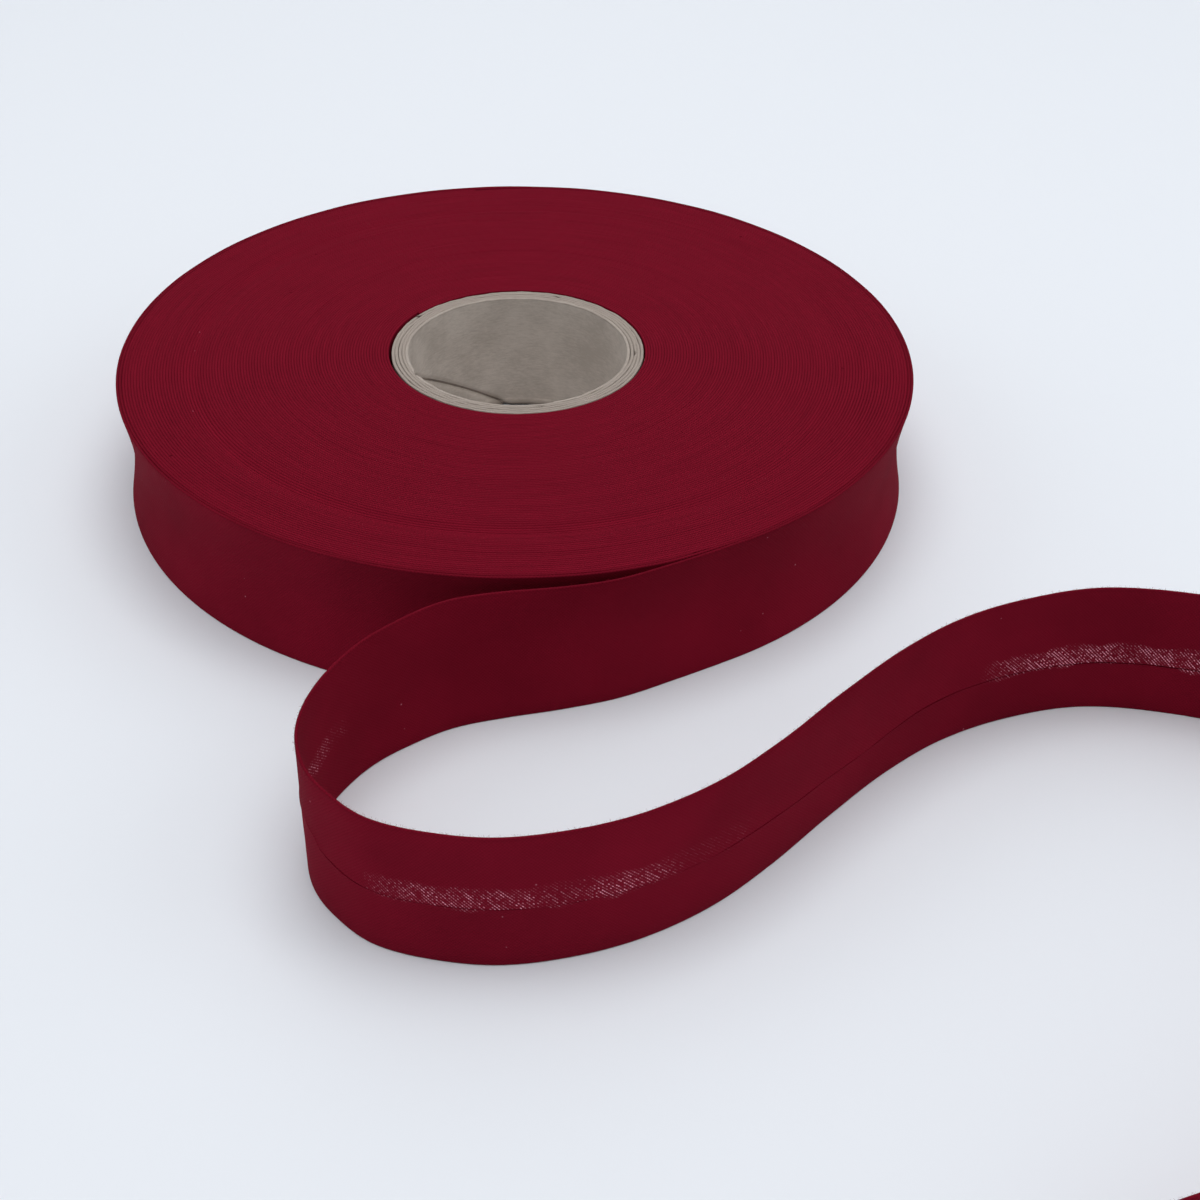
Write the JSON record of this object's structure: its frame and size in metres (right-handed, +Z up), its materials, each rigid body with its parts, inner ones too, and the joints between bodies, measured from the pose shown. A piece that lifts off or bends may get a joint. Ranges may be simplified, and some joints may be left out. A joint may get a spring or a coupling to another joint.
{
  "type": "bias binding roll",
  "caption": "Roll of folded cotton bias binding wound on a paperboard tube, lying flat, with its free end drawn off and standing on its edge.",
  "frame": {"origin": "on the roll's axis, in the plane of its lower face, which is the surface that it lies on", "axes": "+Z up along the roll's axis; the drawn tape leaves the roll on its -Y side and runs towards +X"},
  "size_m": [0.182, 0.2183, 0.0202],
  "materials": {
    "crimson_cotton": "matt plain-weave cotton cut on the bias, pressed to a slight shine along its middle",
    "core_board": "matt grey-brown paperboard with torn, fibrous ends",
    "core_liner_paper": "matt grey-beige liner paper with a spiral seam",
    "adhesive": "thin cream double-sided strip"
  },
  "bodies": {
    "drawn_tape": {"outer_turn": "crimson_cotton", "tape_tail": "crimson_cotton"},
    "roll": {"core_liner_ply": "core_liner_paper", "core_body_ply_1": "core_board", "core_body_ply_2": "core_board", "core_body_ply_3": "core_board", "core_cover_ply": "core_board", "core_adhesive_strip": "adhesive", "cloth_length_01": "crimson_cotton", "cloth_length_02": "crimson_cotton", "cloth_length_03": "crimson_cotton", "cloth_length_04": "crimson_cotton", "cloth_length_05": "crimson_cotton", "cloth_length_06": "crimson_cotton", "cloth_length_07": "crimson_cotton", "cloth_length_08": "crimson_cotton", "cloth_length_09": "crimson_cotton", "cloth_length_10": "crimson_cotton", "cloth_length_11": "crimson_cotton", "cloth_length_12": "crimson_cotton"}
  },
  "joints": [
    {"name": "roll_turn", "type": "hinge", "parent": "drawn_tape", "child": "roll", "pos_m": [0, 0, 0], "axis": [0, 0, 1], "continuous": true}
  ]
}
